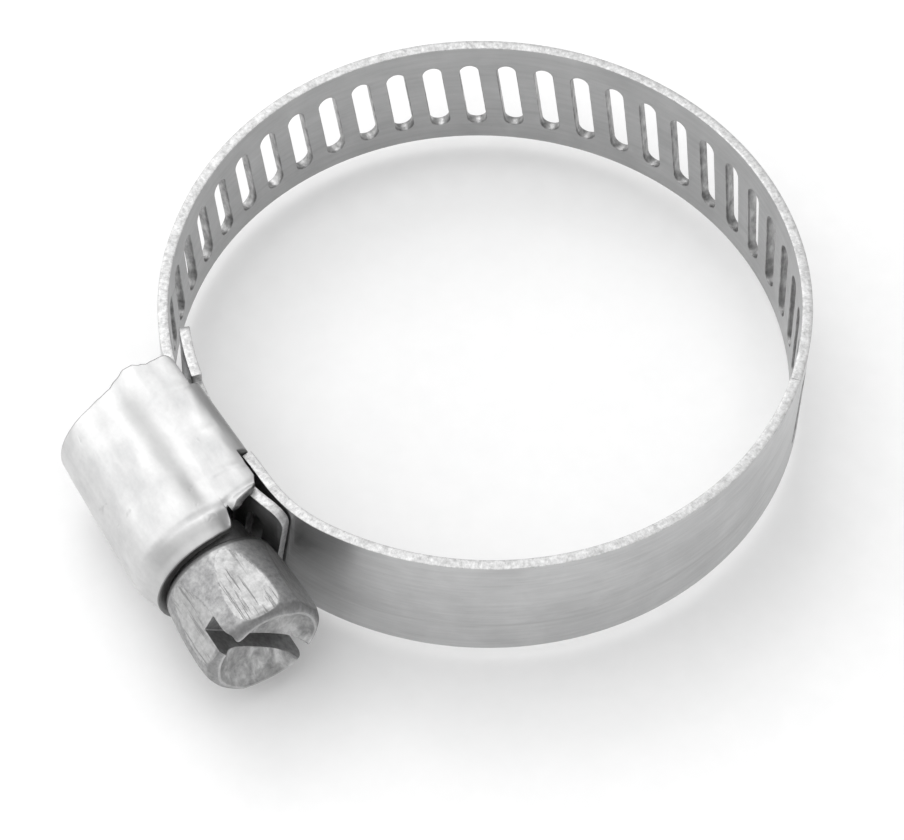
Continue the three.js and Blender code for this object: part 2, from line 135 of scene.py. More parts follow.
def sheet_mesh(name, flat, place, scale_a, thick, bevel, seams=(), uv_scale=0.1, wall_kind=None, shade=None, butt=None, turn=0.0):
    """Gives a flat quad mesh its thickness. place(a, b, off) is the 3-D point at offset off from the sheet's outer face
    (0 = outer, -thick = inner). scale_a is millimetres per unit of a. seams are values of a where the piece is cut flat.
    turn moves the grain along a, so that it runs on from the neighbouring piece."""
    P = flat.p
    used = {}
    for f in flat.q:
        for i, x in enumerate(f):
            used[(x, f[(i + 1) % len(f)])] = True
    border = [(a, b) for (a, b) in used if (b, a) not in used]
    seam_edge = {}
    for a, b in border:
        for s in seams:
            if abs(P[a][0] - s) < 1e-4 and abs(P[b][0] - s) < 1e-4:
                seam_edge[(a, b)] = s
    normals = {}
    for a, b in border:
        if (a, b) in seam_edge:
            continue
        dt, dz = (P[b][0] - P[a][0]) * scale_a, P[b][1] - P[a][1]
        l = math.hypot(dt, dz) or 1e-9
        n = (dz / l, -dt / l)
        for x in (a, b):
            normals.setdefault(x, []).append(n)
    inset = {}
    for x, ns in normals.items():
        sx, sz = sum(n[0] for n in ns), sum(n[1] for n in ns)
        l = math.hypot(sx, sz) or 1e-9
        sx, sz = sx / l, sz / l
        c = max(0.5, min(sx * n[0] + sz * n[1] for n in ns))
        inset[x] = (sx / c / scale_a, sz / c)
    bm = bmesh.new()
    uvl = bm.loops.layers.uv.new("sheet")
    edge_layer = bm.verts.layers.float.new("rim")
    shade_layer = bm.verts.layers.float.new("shade")
    rows = {}

    def add(x, back, off, rim=0.0):
        n = inset.get(x, (0.0, 0.0))
        a, b = P[x][0] - n[0] * back, P[x][1] - n[1] * back
        vert = bm.verts.new([c * MM for c in place(a, b, off)])
        vert[edge_layer] = rim
        vert[shade_layer] = shade(P[x][0], P[x][1], off < -thick / 2) if shade else 0.0
        return vert, ((a + turn) * scale_a * uv_scale, b * uv_scale)

    O, I, uvof = {}, {}, {}
    def ease(x):
        return 0.006 if butt is not None and abs(P[x][0] - butt) < 0.06 else bevel

    for x in range(len(P)):
        e = ease(x)
        O[x], uvof[("o", x)] = add(x, e if x in inset else 0.0, 0.0)
        I[x], uvof[("i", x)] = add(x, e if x in inset else 0.0, -thick)
    wall = {}
    for x in inset:
        e = ease(x)
        wall[x] = [O[x]]
        for back, off in ((0.29 * e, -0.29 * e), (0.0, -e), (0.0, -thick * 0.36), (0.0, -thick * 0.68), (0.0, -thick + e), (0.29 * e, -thick + 0.29 * e)):
            vert, uv = add(x, back, off, 1.0)
            uvof[("w", x, len(wall[x]))] = uv
            wall[x].append(vert)
        wall[x].append(I[x])

    def face(vs, uvs, mat=0):
        try:
            f = bm.faces.new(vs)
        except ValueError:
            return None
        for loop, uv in zip(f.loops, uvs):
            loop[uvl].uv = uv
        f.material_index = mat
        f.smooth = True
        return f

    for f in flat.q:
        face([O[x] for x in f], [uvof[("o", x)] for x in f])
        face([I[x] for x in reversed(f)], [uvof[("i", x)] for x in reversed(f)])
    for a, b in border:
        if (a, b) in seam_edge:
            continue
        wa, wb = wall[a], wall[b]
        for k in range(len(wa) - 1):
            ua = [(uvof[("o", a)][0], uvof[("o", a)][1] + 0.02 * k), (uvof[("o", a)][0], uvof[("o", a)][1] + 0.02 * (k + 1))]
            ub = [(uvof[("o", b)][0], uvof[("o", b)][1] + 0.02 * k), (uvof[("o", b)][0], uvof[("o", b)][1] + 0.02 * (k + 1))]
            face([wb[k], wa[k], wa[k + 1], wb[k + 1]], [ub[0], ua[0], ua[1], ub[1]], wall_kind(P[a], P[b]) if wall_kind else 1)
    for s in set(seam_edge.values()):
        ends = sorted({x for e, v in seam_edge.items() if v == s for x in e}, key=lambda x: P[x][1])
        lo, hi = ends[0], ends[-1]
        loop = [O[x] for x in ends] + wall[hi][1:-1] + [I[x] for x in reversed(ends)] + list(reversed(wall[lo][1:-1]))
        f = face(loop, [(0.0, 0.0)] * len(loop), 0)
        if f is not None:
            f.smooth = False
    bmesh.ops.recalc_face_normals(bm, faces=bm.faces[:])
    me = bpy.data.meshes.new(name)
    bm.to_mesh(me)
    bm.free()
    me.set_sharp_from_angle(angle=math.radians(38))
    ob = bpy.data.objects.new(name, me)
    scene.collection.objects.link(ob)
    return ob


# ------------------------------------------------------------------ band
RAMP = [0.0, 0.5, 0.95, 1.3, 1.55, 1.75, 1.9, 2.0]      # rows from the straight side of a slot to the strip's edge
H = SLOT_L / 2 - SLOT_W / 2
STRAIGHT = [-H + 2 * H * i / 6 for i in range(7)]


def column():
    """Heights of the points down a boundary between two cells."""
    up = [SLOT_Z + H + (HALF - SLOT_Z - H) * r / RAMP[-1] for r in RAMP[1:]]
    down = [SLOT_Z - H - (HALF + SLOT_Z - H) * r / RAMP[-1] for r in RAMP[1:]]
    return list(reversed(down)) + [SLOT_Z + y for y in STRAIGHT] + up


COLUMN = column()
DEG = math.degrees(1 / RING_R)       # degrees of azimuth per millimetre of strip


def slot_cell(flat, lo, hi, at, top_n=13):
    """One slot with its share of the strip, lo and hi being azimuths."""
    zs, n = COLUMN, len(RAMP) - 1
    ys = STRAIGHT
    arc = 2 * n + top_n
    R = SLOT_W / 2

    def turn(x, y):
        return (at + (x * math.cos(LEAN) + y * math.sin(LEAN)) * DEG, -x * math.sin(LEAN) + y * math.cos(LEAN) + SLOT_Z)

    inner, outer = [], []
    for y, z in zip(ys[:-1], zs[n:n + 6]):                              # up the high side
        inner.append((R, y)); outer.append((hi, z))
    for i in range(arc):                                                 # over the top
        a = math.pi * i / arc
        inner.append((R * math.cos(a), H + R * math.sin(a)))
        if i <= n:
            outer.append((hi, zs[n + 6 + i]))
        elif i < n + top_n:
            outer.append((hi + (lo - hi) * (i - n) / top_n, HALF))
        else:
            outer.append((lo, zs[n + 6 + arc - i]))
    for y, z in zip(reversed(ys[1:]), reversed(zs[n + 1:n + 7])):        # down the low side
        inner.append((-R, y)); outer.append((lo, z))
    for i in range(arc):                                                 # under the bottom
        a = math.pi + math.pi * i / arc
        inner.append((R * math.cos(a), -H + R * math.sin(a)))
        if i <= n:
            outer.append((lo, zs[n - i]))
        elif i < n + top_n:
            outer.append((lo + (hi - lo) * (i - n) / top_n, -HALF))
        else:
            outer.append((hi, zs[i - n - top_n]))
    inner = [turn(*p) for p in inner]
    rings = []
    for w in (0.0, 0.12, 0.5, 0.94, 1.0):
        rings.append([(p[0] + (q[0] - p[0]) * w, p[1] + (q[1] - p[1]) * w) if w < 1 else q for p, q in zip(inner, outer)])
    m = len(inner)
    for r0, r1 in zip(rings, rings[1:]):
        for i in range(m):
            j = (i + 1) % m
            flat.quad(r0[j], r0[i], r1[i], r1[j])


def plain_cells(flat, lo, hi, step=0.75, zs=None, skip=None):
    zs = zs or COLUMN
    n = max(1, round((hi - lo) / step))
    az = [lo + (hi - lo) * i / n for i in range(n + 1)]
    az[-1] = hi
    for a, b in zip(az, az[1:]):
        for c, d in zip(zs, zs[1:]):
            if skip and skip((a + b) / 2, (c + d) / 2):
                continue
            flat.quad((a, c), (b, c), (b, d), (a, d))


def on_ring(rfun):
    def place(az, z, off):
        a = math.radians(az)
        r = rfun(az) + BAND_T / 2 + off
        return (r * math.cos(a), r * math.sin(a), z)
    return place


def burr(z, az):
    """The sheared edge isn't dead straight."""
    return 0.012 * noise.noise(Vector((az * 1.9, z, 3.1))) + 0.006 * noise.noise(Vector((az * 6.0, z, 9.7)))


def wall_kind(p, q):
    """1 for a sheared edge or end of the strip, 2 for the wall of a punched slot."""
    inside = abs(p[1]) < 2.9 and abs(q[1]) < 2.9
    end = p[0] > 289.0 or p[0] < -33.0 or (246.0 < p[0] < 247.5) or abs(p[0] - AZ_OPEN) < 0.2
    return 2 if inside and not end else 1


# painted shade: marks the inner face of the strip, which the band material darkens to stand in for the shadowed floor
# it reflects
def inner_face_painted_shade(az, z, inside):
    return 1.0 if inside else 0.0


def band_place(rfun):
    base = on_ring(rfun)

    def place(az, z, off):
        if abs(z) > HALF - 0.12:
            z += burr(math.copysign(1, z), az)
        return base(az, z, off)
    return place


def finish_band(ob):
    """Bakes the piece's world transform into its mesh."""
    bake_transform(ob)


# slots of the run through the housing, as azimuths seen from the ring's centre
def azimuth_on_feed(b):
    a = math.radians(b)
    az = math.degrees(math.atan2(FEED_C[1] + FEED_R * math.sin(a), FEED_C[0] + FEED_R * math.cos(a)))
    return az % 360


def feed_angle(az):
    lo, hi = az - 12, az + 12
    for _ in range(60):
        m = (lo + hi) / 2
        if azimuth_on_feed(m) < az:
            lo = m
        else:
            hi = m
    return (lo + hi) / 2


FEED_STEP = math.degrees(PITCH / FEED_R)
feed_slots = []
k = 0
while feed_angle(SLOT0) + k * FEED_STEP < feed_angle(TAIL_AZ) - 3.5:
    feed_slots.append(azimuth_on_feed(feed_angle(SLOT0) + k * FEED_STEP))
    k += 1
SEAM_1 = AZ_FEED - 3 * STEP
SEAM_2 = AZ_A12 - 3 * STEP
SEAM_3 = AZ_A23 - 3 * STEP
SEAM_4 = (AZ_B12 + AZ_FIX) / 2
SPLIT = 0.012 * DEG                                        # half of the gap at the open pivot


def build_tail():
    """Slotted strip from its free tail to the middle of the first arc."""
    flat = Flat()
    slots = [AZ_FEED - STEP / 2 - k * STEP for k in range(3)]
    for s in slots:
        slot_cell(flat, s - STEP / 2, s + STEP / 2, s)
    bounds = [AZ_FEED]
    for a, b in zip(feed_slots, feed_slots[1:]):
        bounds.append((a + b) / 2)
    bounds.append(feed_slots[-1] + (feed_slots[-1] - bounds[-1]))
    for s, lo, hi in zip(feed_slots, bounds, bounds[1:]):
        slot_cell(flat, lo, hi, s)
    # the tail: cut along the lean of the slots, corners rounded
    start = bounds[-1]
    n = 12

    def tip(z):
        corner = 0.0
        if abs(z) > 2.95:
            corner = 1.15 * (1 - math.sqrt(max(0.0, 1 - ((abs(z) - 2.95) / (HALF - 2.95)) ** 2)))
        return TAIL_AZ + (z * math.tan(LEAN) - corner) * DEG

    for i in range(n):
        f0, f1 = i / n, (i + 1) / n
        f0, f1 = 1 - (1 - f0) ** 1.3, 1 - (1 - f1) ** 1.3
        for c, d in zip(COLUMN, COLUMN[1:]):
            flat.quad((start + (tip(c) - start) * f0, c), (start + (tip(c) - start) * f1, c),
                      (start + (tip(d) - start) * f1, d), (start + (tip(d) - start) * f0, d))
    ob = sheet_mesh("band_slotted_tail", flat, band_place(outer_run_r), 1 / DEG, BAND_T, 0.05, seams=(SEAM_1,), wall_kind=wall_kind, shade=inner_face_painted_shade)
    return ob


def build_slotted(name, hi, lo, seams):
    flat = Flat()
    n = round((hi - lo) / STEP)
    for k in range(n):
        a, b = hi - (k + 1) * STEP, hi - k * STEP
        slot_cell(flat, a, b, (a + b) / 2)
    return sheet_mesh(name, flat, band_place(outer_run_r), 1 / DEG, BAND_T, 0.05, seams=seams, wall_kind=wall_kind, shade=inner_face_painted_shade)


def build_last_slotted():
    flat = Flat()
    n = round((SEAM_3 - AZ_OPEN) / STEP)
    for k in range(n):
        a, b = SEAM_3 - (k + 1) * STEP, SEAM_3 - k * STEP
        slot_cell(flat, a + (SPLIT if k == n - 1 else 0), b, (a + b) / 2)
    return sheet_mesh("band_slotted_back", flat, band_place(outer_run_r), 1 / DEG, BAND_T, 0.05, seams=(SEAM_3,), wall_kind=wall_kind, shade=inner_face_painted_shade, butt=AZ_OPEN)


def build_plain():
    flat = Flat()
    plain_cells(flat, SEAM_4, AZ_OPEN - SPLIT)
    return sheet_mesh("band_plain_side", flat, band_place(outer_run_r), 1 / DEG, BAND_T, 0.05, seams=(SEAM_4,), wall_kind=wall_kind, shade=inner_face_painted_shade, butt=AZ_OPEN)


def build_fixed():
    """Plain strip from the side of the ring, through the housing, to the liner's free end."""
    flat = Flat()
    zs = [-HALF, -3.90, -3.78, -3.55, -3.32, -2.6, -1.7, -0.85, 0.0, 0.85, 1.7, 2.6, 3.32, 3.55, 3.78, 3.90, HALF]
    n0, n1 = 270 + math.degrees(math.asin(-3.15 / 16.46)), 270 + math.degrees(math.asin(2.55 / 16.46))

    def skip(az, z):
        return n0 < az < n1 and abs(z) > 3.32

    start = 246.9
    # free end with small rounded corners
    def tip(z):
        c = 0.0
        if abs(z) > HALF - 0.45:
            c = 0.45 * (1 - math.sqrt(max(0.0, 1 - ((abs(z) - HALF + 0.45) / 0.45) ** 2)))
        return start + c * DEG
    first = 249.9
    n = 6
    for i in range(n):
        f0, f1 = (i / n) ** 1.3, ((i + 1) / n) ** 1.3
        for c, d in zip(zs, zs[1:]):
            flat.quad((tip(c) + (first - tip(c)) * f0, c), (tip(c) + (first - tip(c)) * f1, c),
                      (tip(d) + (first - tip(d)) * f1, d), (tip(d) + (first - tip(d)) * f0, d))
    plain_cells(flat, first, n0, zs=zs)
    plain_cells(flat, n0, n1, zs=zs, skip=skip)
    plain_cells(flat, n1, SEAM_4 + 360, zs=zs)
    return sheet_mesh("band_fixed_run", flat, band_place(fixed_r), 1 / DEG, BAND_T, 0.05, seams=(SEAM_4 + 360,), wall_kind=wall_kind, shade=inner_face_painted_shade, turn=-360.0)


# ------------------------------------------------------------------ housing
SHEET = 0.50
VS = -SCREW_Y


def dome_r(u):
    """Outside radius of the dome and the collar along the screw."""
    pts = [(-6.0, 3.62), (-4.7, 3.64), (-3.0, 3.72), (0.0, 3.82), (2.6, 3.92), (3.9, 3.95), (4.4, 3.93), (4.8, 3.82),
           (5.2, 3.68), (5.6, 3.56), (6.2, 3.46)]
    for (a, ra), (b, rb) in zip(pts, pts[1:]):
        if u <= b:
            t = smooth((u - a) / (b - a)) * 0.5 + 0.5 * (u - a) / (b - a)
            return ra + (rb - ra) * t
    return pts[-1][1]


LAST = 15


def control(i, u):
    """Control point i of the section at u, as (w, v): w across the band, v outwards."""
    R = dome_r(u)
    k = min(1.0, max(0.0, (u + 4.8) / 9.75))
    rough = 0.02 * math.sin(u * 1.7 + i * 0.9) * (1 if i > 6 else 0)
    if i <= 6:
        a = math.radians([0, 15, 30, 45, 60, 75, 88][i])
        return (R * math.sin(a), VS + R * math.cos(a))
    # the wall between the dome and the flange; it draws in to the collar at the front
    wall = [(3.90 - 0.06 * (1 - k), 19.52), (3.99, 18.92), (4.22, 18.36), (4.48, 17.82), (4.60, 17.34),
            (4.55, 16.90), (4.30, 16.52), (3.93, 16.33), (3.50, 16.29)][i - 7]
    w, v = wall[0] + rough * (1 if i < 12 else 0), wall[1]
    pull = smooth((u - 4.35) / 0.95)
    if i <= 8 and pull > 0:
        a = math.radians([100, 112][i - 7])
        cw, cv = R * math.sin(a), VS + R * math.cos(a)
        w, v = w + (cw - w) * pull, v + (cv - v) * pull
    # gentle creases where the flange was folded over the notches
    if 9 <= i <= 12:
        for uc, deep in ((-2.75, 0.055), (0.35, 0.035), (3.1, 0.06)):
            w -= deep * math.exp(-((u - uc - 0.16 * (i - 10)) / 0.20) ** 2)
        w -= 0.05 * math.exp(-((u - 1.7) / 0.9) ** 2) * (i - 9) / 3
    if i >= 12:
        v += 0.05 * (u + 2.55) * (-1 if i > 12 else -0.5) * 0.5
    return (w, v)


def section(c, u):
    """Outer face at sheet coordinate c, negative below the band, at u along the screw."""
    s, c = (1 if c >= 0 else -1), abs(c)
    i = min(int(c), LAST - 1)
    t = c - i
    p = []
    for j in (i - 1, i, i + 1, i + 2):
        if j < 0:
            w, v = control(-j, u)
            p.append((-w, v))
        else:
            p.append(control(min(j, LAST), u))
    out = []
    for d in (0, 1):
        a, b, e, f = (q[d] for q in p)
        out.append(0.5 * (2 * b + (e - a) * t + (2 * a - 5 * b + 4 * e - f) * t * t + (-a + 3 * b - 3 * e + f) * t ** 3))
    return Vector((u, -out[1], out[0] * s))


def housing_point(c, u, off):
    p = section(c, u)
    if off == 0:
        return p
    h = 0.02
    dc = section(c + h, u) - section(c - h, u)
    du = section(c, u + h) - section(c, u - h)
    n = dc.cross(du)
    n.normalize()
    outward = Vector((0, p.y - SCREW_Y, p.z)) if abs(c) < 7 else Vector((0, -0.2, 1 if c > 0 else -1))
    if abs(c) >= 12.6:
        outward = Vector((0, 1, 0))
    if n.dot(outward) < 0:
        n = -n
    if abs(c) < 8.2:
        off *= 1 + 0.38 * smooth((u - 5.25) / 0.5)                # the collar's mouth is rolled thicker
    return p + n * off


def rear_edge(c):
    pts = [(0, -4.60), (2, -4.61), (4, -4.66), (5, -4.80), (5.7, -4.95), (6.4, -5.25), (7.2, -5.55), (8.0, -5.52), (8.7, -5.22),
           (9.3, -4.98), (10.3, -4.86), (11.2, -4.80), (11.7, -4.62), (12.0, -4.30)]
    c = abs(c)
    for (a, x), (b, y) in zip(pts, pts[1:]):
        if c <= b:
            return x + (y - x) * smooth((c - a) / (b - a))
    return -4.3


def front_edge(c, s=1):
    pts = [(0, 6.08), (4, 6.07), (5, 6.05), (6, 6.02), (7.0, 5.94), (7.75, 5.80), (7.92, 5.62), (8.04, 4.90), (8.22, 4.88), (8.36, 5.16), (8.7, 5.20), (9.3, 5.06), (10.3, 4.99),
           (11.0, 4.93), (11.5, 4.76), (12.0, 4.30)]
    c = abs(c)
    for (a, x), (b, y) in zip(pts, pts[1:]):
        if c <= b:
            return x + (y - x) * smooth((c - a) / (b - a))
    return 4.3


LUG = (-2.55, 2.50)


def build_housing():
    flat = Flat()
    cs = []
    c = 0.0
    while c < 12 - 1e-9:
        cs.append(c)
        c += 0.2
    cs += [11.9, 12.0]
    cs = sorted(set(round(x, 4) for x in cs + [7.85, 7.9, 7.95, 8.04, 8.1, 8.15, 8.22, 8.28, 8.32, 8.36, 8.45, 8.5, 11.85]))
    lug = [12.0 + 0.2 * i for i in range(1, 16)]
    n_side, n_lug = 13, 30

    def us(c):
        a, b = rear_edge(c), front_edge(c)
        left = [a + (LUG[0] - a) * (i / n_side) for i in range(n_side)]
        mid = [LUG[0] + (LUG[1] - LUG[0]) * i / n_lug for i in range(n_lug)]
        m = 22
        right = [LUG[1] + (b - LUG[1]) * i / m for i in range(m + 1)]
        return left + mid + right

    full = [-x for x in reversed(cs) if x > 0] + cs
    for c0, c1 in zip(full, full[1:]):
        a, b = us(c0), us(c1)
        for i in range(len(a) - 1):
            flat.quad((c0, a[i]), (c1, b[i]), (c1, b[i + 1]), (c0, a[i + 1]))
    for s in (1, -1):
        rows = [12.0] + lug
        for c0, c1 in zip(rows, rows[1:]):
            for i in range(n_lug):
                u0, u1 = LUG[0] + (LUG[1] - LUG[0]) * i / n_lug, LUG[0] + (LUG[1] - LUG[0]) * (i + 1) / n_lug
                q = [(s * c0, u0), (s * c1, u0), (s * c1, u1), (s * c0, u1)]
                flat.quad(*(q if s > 0 else reversed(q)))

    def place(c, u, off):
        p = housing_point(c, u, off)
        # slight dents of handling over the stamped sheet
        groove = 0.10 * math.exp(-((u - 4.62) / 0.16) ** 2) * smooth((abs(c) - 3.6) / 1.6)
        d = -groove + 0.022 * noise.noise(Vector((u * 0.55, c * 0.42, 1.7))) + 0.008 * noise.noise(Vector((u * 1.6, c * 1.1, 4.2)))
        if abs(c) < 8:
            n = Vector((0, p.y - SCREW_Y, p.z)).normalized()
        else:
            n = Vector((0, 0, 1 if c > 0 else -1))
        return tuple(p + n * d)

    def wear_and_painted_shade(c, u, inside):
        # painted shade: darker in the hollow between dome and flange, on the collar and round the flange's fold, where
        # shade falls on the stamping
        a = abs(c)
        hollow = math.exp(-((a - 6.35) / 0.90) ** 2) * smooth((u + 5.2) / 2.0) * smooth((4.9 - u) / 1.2)
        collar = smooth((u - 4.4) / 1.0) * smooth((8.4 - a) / 0.6) * (0.25 + 0.50 * smooth((a - 2.0) / 2.5))
        fold = smooth((a - 9.9) / 1.5) * 0.85
        return min(1.0, max(hollow, collar, fold))

    ob = sheet_mesh("housing_shell", flat, place, 0.95, SHEET, 0.07, uv_scale=0.1, shade=wear_and_painted_shade)
    return ob


# ------------------------------------------------------------------ screw
def build_screw():
    """Head, neck, worm and pilot as one closed skin about the X axis, then the driver slot."""
    N = 288
    apothem = 3.175
    head = [(6.22, 2.60), (6.22, 3.00), (6.235, 3.06), (6.28, 3.11), (6.40, 3.155), (6.70, 3.21), (7.05, 3.25), (7.4, 3.285), (7.8, 3.325),
            (8.2, 3.36), (8.6, 3.39), (9.0, 3.42), (9.4, 3.44), (9.8, 3.45), (10.15, 3.45), (10.45, 3.445), (10.70, 3.42), (10.90, 3.38),
            (11.05, 3.325), (11.18, 3.25), (11.29, 3.165), (11.38, 3.075), (11.45, 2.985), (11.50, 2.90), (11.52, 2.855), (11.515, 2.825), (11.47, 2.77), (11.34, 2.65),
            (11.19, 2.48), (11.06, 2.28), (10.96, 2.03), (10.88, 1.74), (10.83, 1.40), (10.80, 1.0), (10.785, 0.6), (10.78, 0.25), (10.78, 0.0)]
    # finer rows along the head by smooth interpolation
    fine = []
    for i in range(len(head) - 1):
        p = [head[max(i - 1, 0)], head[i], head[i + 1], head[min(i + 2, len(head) - 1)]]
        m = 3 if 4 <= i <= 24 else 2
        for k in range(m):
            t = k / m
            q = []
            for d in (0, 1):
                a, b, e, f = (x[d] for x in p)
                q.append(0.5 * (2 * b + (e - a) * t + (2 * a - 5 * b + 4 * e - f) * t * t + (-a + 3 * b - 3 * e + f) * t ** 3))
            fine.append((q[0], max(q[1], 0.0)))
    fine.append(head[-1])
    rows = [("pole", -4.62, 0.0)]
    rows += [("plain", u, r) for u, r in ((-4.62, 0.6), (-4.62, 1.15), (-4.56, 1.32), (-4.44, 1.46), (-4.30, 1.52), (-4.20, 1.55))]
    u = -4.15
    while u < 4.25:
        rows.append(("worm", u, 0.0))
        u += 0.05
    rows += [("plain", x, r) for x, r in ((4.30, 2.20), (4.38, 2.45), (4.48, 2.57), (4.62, 2.60), (5.0, 2.60), (5.6, 2.60), (6.2, 2.60))]
    rows += [("head", x, r) for x, r in fine[:-1]]
    rows.append(("pole", fine[-1][0], 0.0))
    ROOT, CREST = 2.08, 2.95
    # a crest passes the band's slots on the side that faces the ring
    best = None
    for kk in range(12):
        b = math.radians(feed_angle(SLOT0) + kk * FEED_STEP)
        x = FEED_C[0] + FEED_R * math.cos(b) - math.sin(b) * (-SLOT_Z) * math.tan(LEAN)
        if best is None or abs(x) < abs(best):
            best = x

    def radius(kind, u, r, th):
        if kind == "plain":
            return u, r
        if kind == "worm":
            lead = best + PITCH * th / (2 * math.pi)
            d = (u - lead + PITCH / 2) % PITCH - PITCH / 2
            ramp = 1 - smooth((abs(d) - 0.21) / 0.26)
            end = smooth((u + 4.1) / 0.9) * smooth((4.2 - u) / 0.9)
            core = 1.55 + (ROOT - 1.55) * smooth((u + 4.2) / 0.5)
            return u, core + (CREST - core) * ramp * end
        # head: the six driving flats bite into the turned barrel, and its rim rises towards the corners
        ph = th - math.pi / 2                       # theta is from +Y towards +Z; a flat faces +Z
        off = (ph + math.pi / 6) % (math.pi / 3) - math.pi / 6
        flat_r = apothem / math.cos(off)
        g = (1 / math.cos(off) - 1) / (1 / math.cos(math.pi / 6) - 1)
        rise = smooth((u - 10.4) / 0.9) * smooth((r - 1.7) / 0.9)
        uu = u + 0.09 * (g - 0.25) * rise
        if r > 0 and flat_r < r:
            k = min(r, flat_r + 0.012)
            # the flat is cut clean over the rim as well (fade is held at 1)
            fade = 1.0
            return uu, r + (k - r) * fade
        return uu, r

    bm = bmesh.new()
    flat_layer = bm.verts.layers.float.new("facet")
    dish_layer = bm.verts.layers.float.new("dish")
    shaded_bevel_layer = bm.verts.layers.float.new("bevel")
    crest_highlight_layer = bm.verts.layers.float.new("crest")
    rings = []
    for kind, u, r in rows:
        if kind == "pole":
            v = bm.verts.new((u * MM, SCREW_Y * MM, 0))
            rings.append([v])
            continue
        ring = []
        for i in range(N):
            th = 2 * math.pi * i / N
            uu, rr = radius(kind, u, r, th)
            wob = 0.0
            if kind == "head" and r > 2.7:
                wob = 0.010 * noise.noise(Vector((uu * 0.9, math.cos(th) * 2.2, math.sin(th) * 2.2)))
            rr += wob
            v = bm.verts.new((uu * MM, (SCREW_Y + rr * math.cos(th)) * MM, rr * math.sin(th) * MM))
            if kind == "head" and r > rr - wob + 0.02:
                v[flat_layer] = 1.0
            if kind == "head" and u > 10.5 and r < 2.84:
                v[dish_layer] = 1.0
            # painted shade: marks the rounded shoulder at the head's end, and the head's rear face against the collar,
            # for darkening
            if kind == "head" and 10.95 < u < 11.47 and r > 2.90:
                v[shaded_bevel_layer] = smooth((u - 10.95) / 0.16) * smooth((11.50 - u) / 0.22)
            if kind == "head" and u < 6.5:
                v[shaded_bevel_layer] = 2.0
            # painted highlight: marks a bright line along the crest of the rim round the dished end
            if kind == "head" and u > 11.47 and 2.80 < r < 2.96:
                v[crest_highlight_layer] = 1.0
            ring.append(v)
        rings.append(ring)
    for a, b in zip(rings, rings[1:]):
        if len(a) == 1:
            for i in range(N):
                bm.faces.new((a[0], b[(i + 1) % N], b[i]))
        elif len(b) == 1:
            for i in range(N):
                bm.faces.new((a[i], a[(i + 1) % N], b[0]))
        else:
            for i in range(N):
                bm.faces.new((a[i], a[(i + 1) % N], b[(i + 1) % N], b[i]))
    bmesh.ops.recalc_face_normals(bm, faces=bm.faces[:])
    me = bpy.data.meshes.new("worm_screw_turned")
    bm.to_mesh(me)
    bm.free()
    ob = bpy.data.objects.new("worm_screw_turned", me)
    scene.collection.objects.link(ob)

    # the slot's cutter: a blade with a flared mouth that follows the dished end
    ang = math.radians(42.5)
    half, bottom = 0.45, 9.72

    def end_height(t):
        r = abs(t)
        best_u = 10.78
        for (u0, r0), (u1, r1) in zip(fine, fine[1:]):
            if r1 <= r <= r0 and u0 > 10.5:
                best_u = max(best_u, u0 + (u1 - u0) * (r0 - r) / max(r0 - r1, 1e-6))
        return best_u

    prof_n = 141
    cb = bmesh.new()
    secs = []
    for i in range(prof_n):
        t = -4.2 + 8.4 * i / (prof_n - 1)
        h = end_height(min(abs(t), 3.1))
        flare = 0.035
        # the upper lip is bruised off where the driver bears on it
        up = half + 0.11 + 0.15 * math.exp(-((abs(t) - 3.16) / 0.17) ** 2)
        pts = [(-half + 0.06, bottom), (up - 0.06, bottom), (up, bottom + 0.06), (up, h - 0.03), (up + flare, h + 0.03), (up + 0.5, h + 0.5), (up + 0.5, 13.0),
               (-half - 0.5, 13.0), (-half - 0.5, h + 0.5), (-half - flare, h + 0.03), (-half, h - 0.03), (-half, bottom + 0.06)]
        ring = []
        for w, uu in pts:
            # t runs along the slot: direction from outwards (-Y) towards +Z
            y = -math.cos(ang) * t + math.sin(ang) * w
            z = math.sin(ang) * t + math.cos(ang) * w
            ring.append(cb.verts.new((uu * MM, (SCREW_Y + y) * MM, z * MM)))
        secs.append(ring)
    for a, b in zip(secs, secs[1:]):
        for i in range(len(a)):
            j = (i + 1) % len(a)
            cb.faces.new((a[i], a[j], b[j], b[i]))
    cb.faces.new(list(reversed(secs[0])))
    cb.faces.new(secs[-1])
    bmesh.ops.recalc_face_normals(cb, faces=cb.faces[:])
    cm = bpy.data.meshes.new("slot_cutter")
    cb.to_mesh(cm)
    cb.free()
    cut = bpy.data.objects.new("slot_cutter", cm)
    scene.collection.objects.link(cut)
    mod = ob.modifiers.new("slot", "BOOLEAN")
    mod.operation = "DIFFERENCE"
    mod.solver = "EXACT"
    mod.object = cut
    dg = bpy.context.evaluated_depsgraph_get()
    done = bpy.data.meshes.new_from_object(ob.evaluated_get(dg))
    ob.modifiers.clear()
    ob.data = done
    bpy.data.objects.remove(cut)
    bm = bmesh.new()
    bm.from_mesh(ob.data)
    bmesh.ops.remove_doubles(bm, verts=bm.verts[:], dist=2e-7)
    bmesh.ops.dissolve_degenerate(bm, edges=bm.edges[:], dist=1e-7)
    # the slot's floor faces get the second material, whose colour has painted light
    for f in bm.faces:
        f.smooth = True
        f.material_index = 1 if f.normal.x > 0.99 and abs(f.calc_center_median().x - bottom * MM) < 0.01 * MM else 0
    bm.to_mesh(ob.data)
    bm.free()
    ob.data.set_sharp_from_angle(angle=math.radians(32))
    return ob


# ------------------------------------------------------------------ materials
def new_material(name, slots):
    m = bpy.data.materials.new(name)
    m.use_nodes = True
    nt = m.node_tree
    nt.nodes.clear()
    out = nt.nodes.new("ShaderNodeOutputMaterial")
    b = nt.nodes.new("ShaderNodeBsdfPrincipled")
    nt.links.new(b.outputs["BSDF"], out.inputs["Surface"])
    return m, nt, b


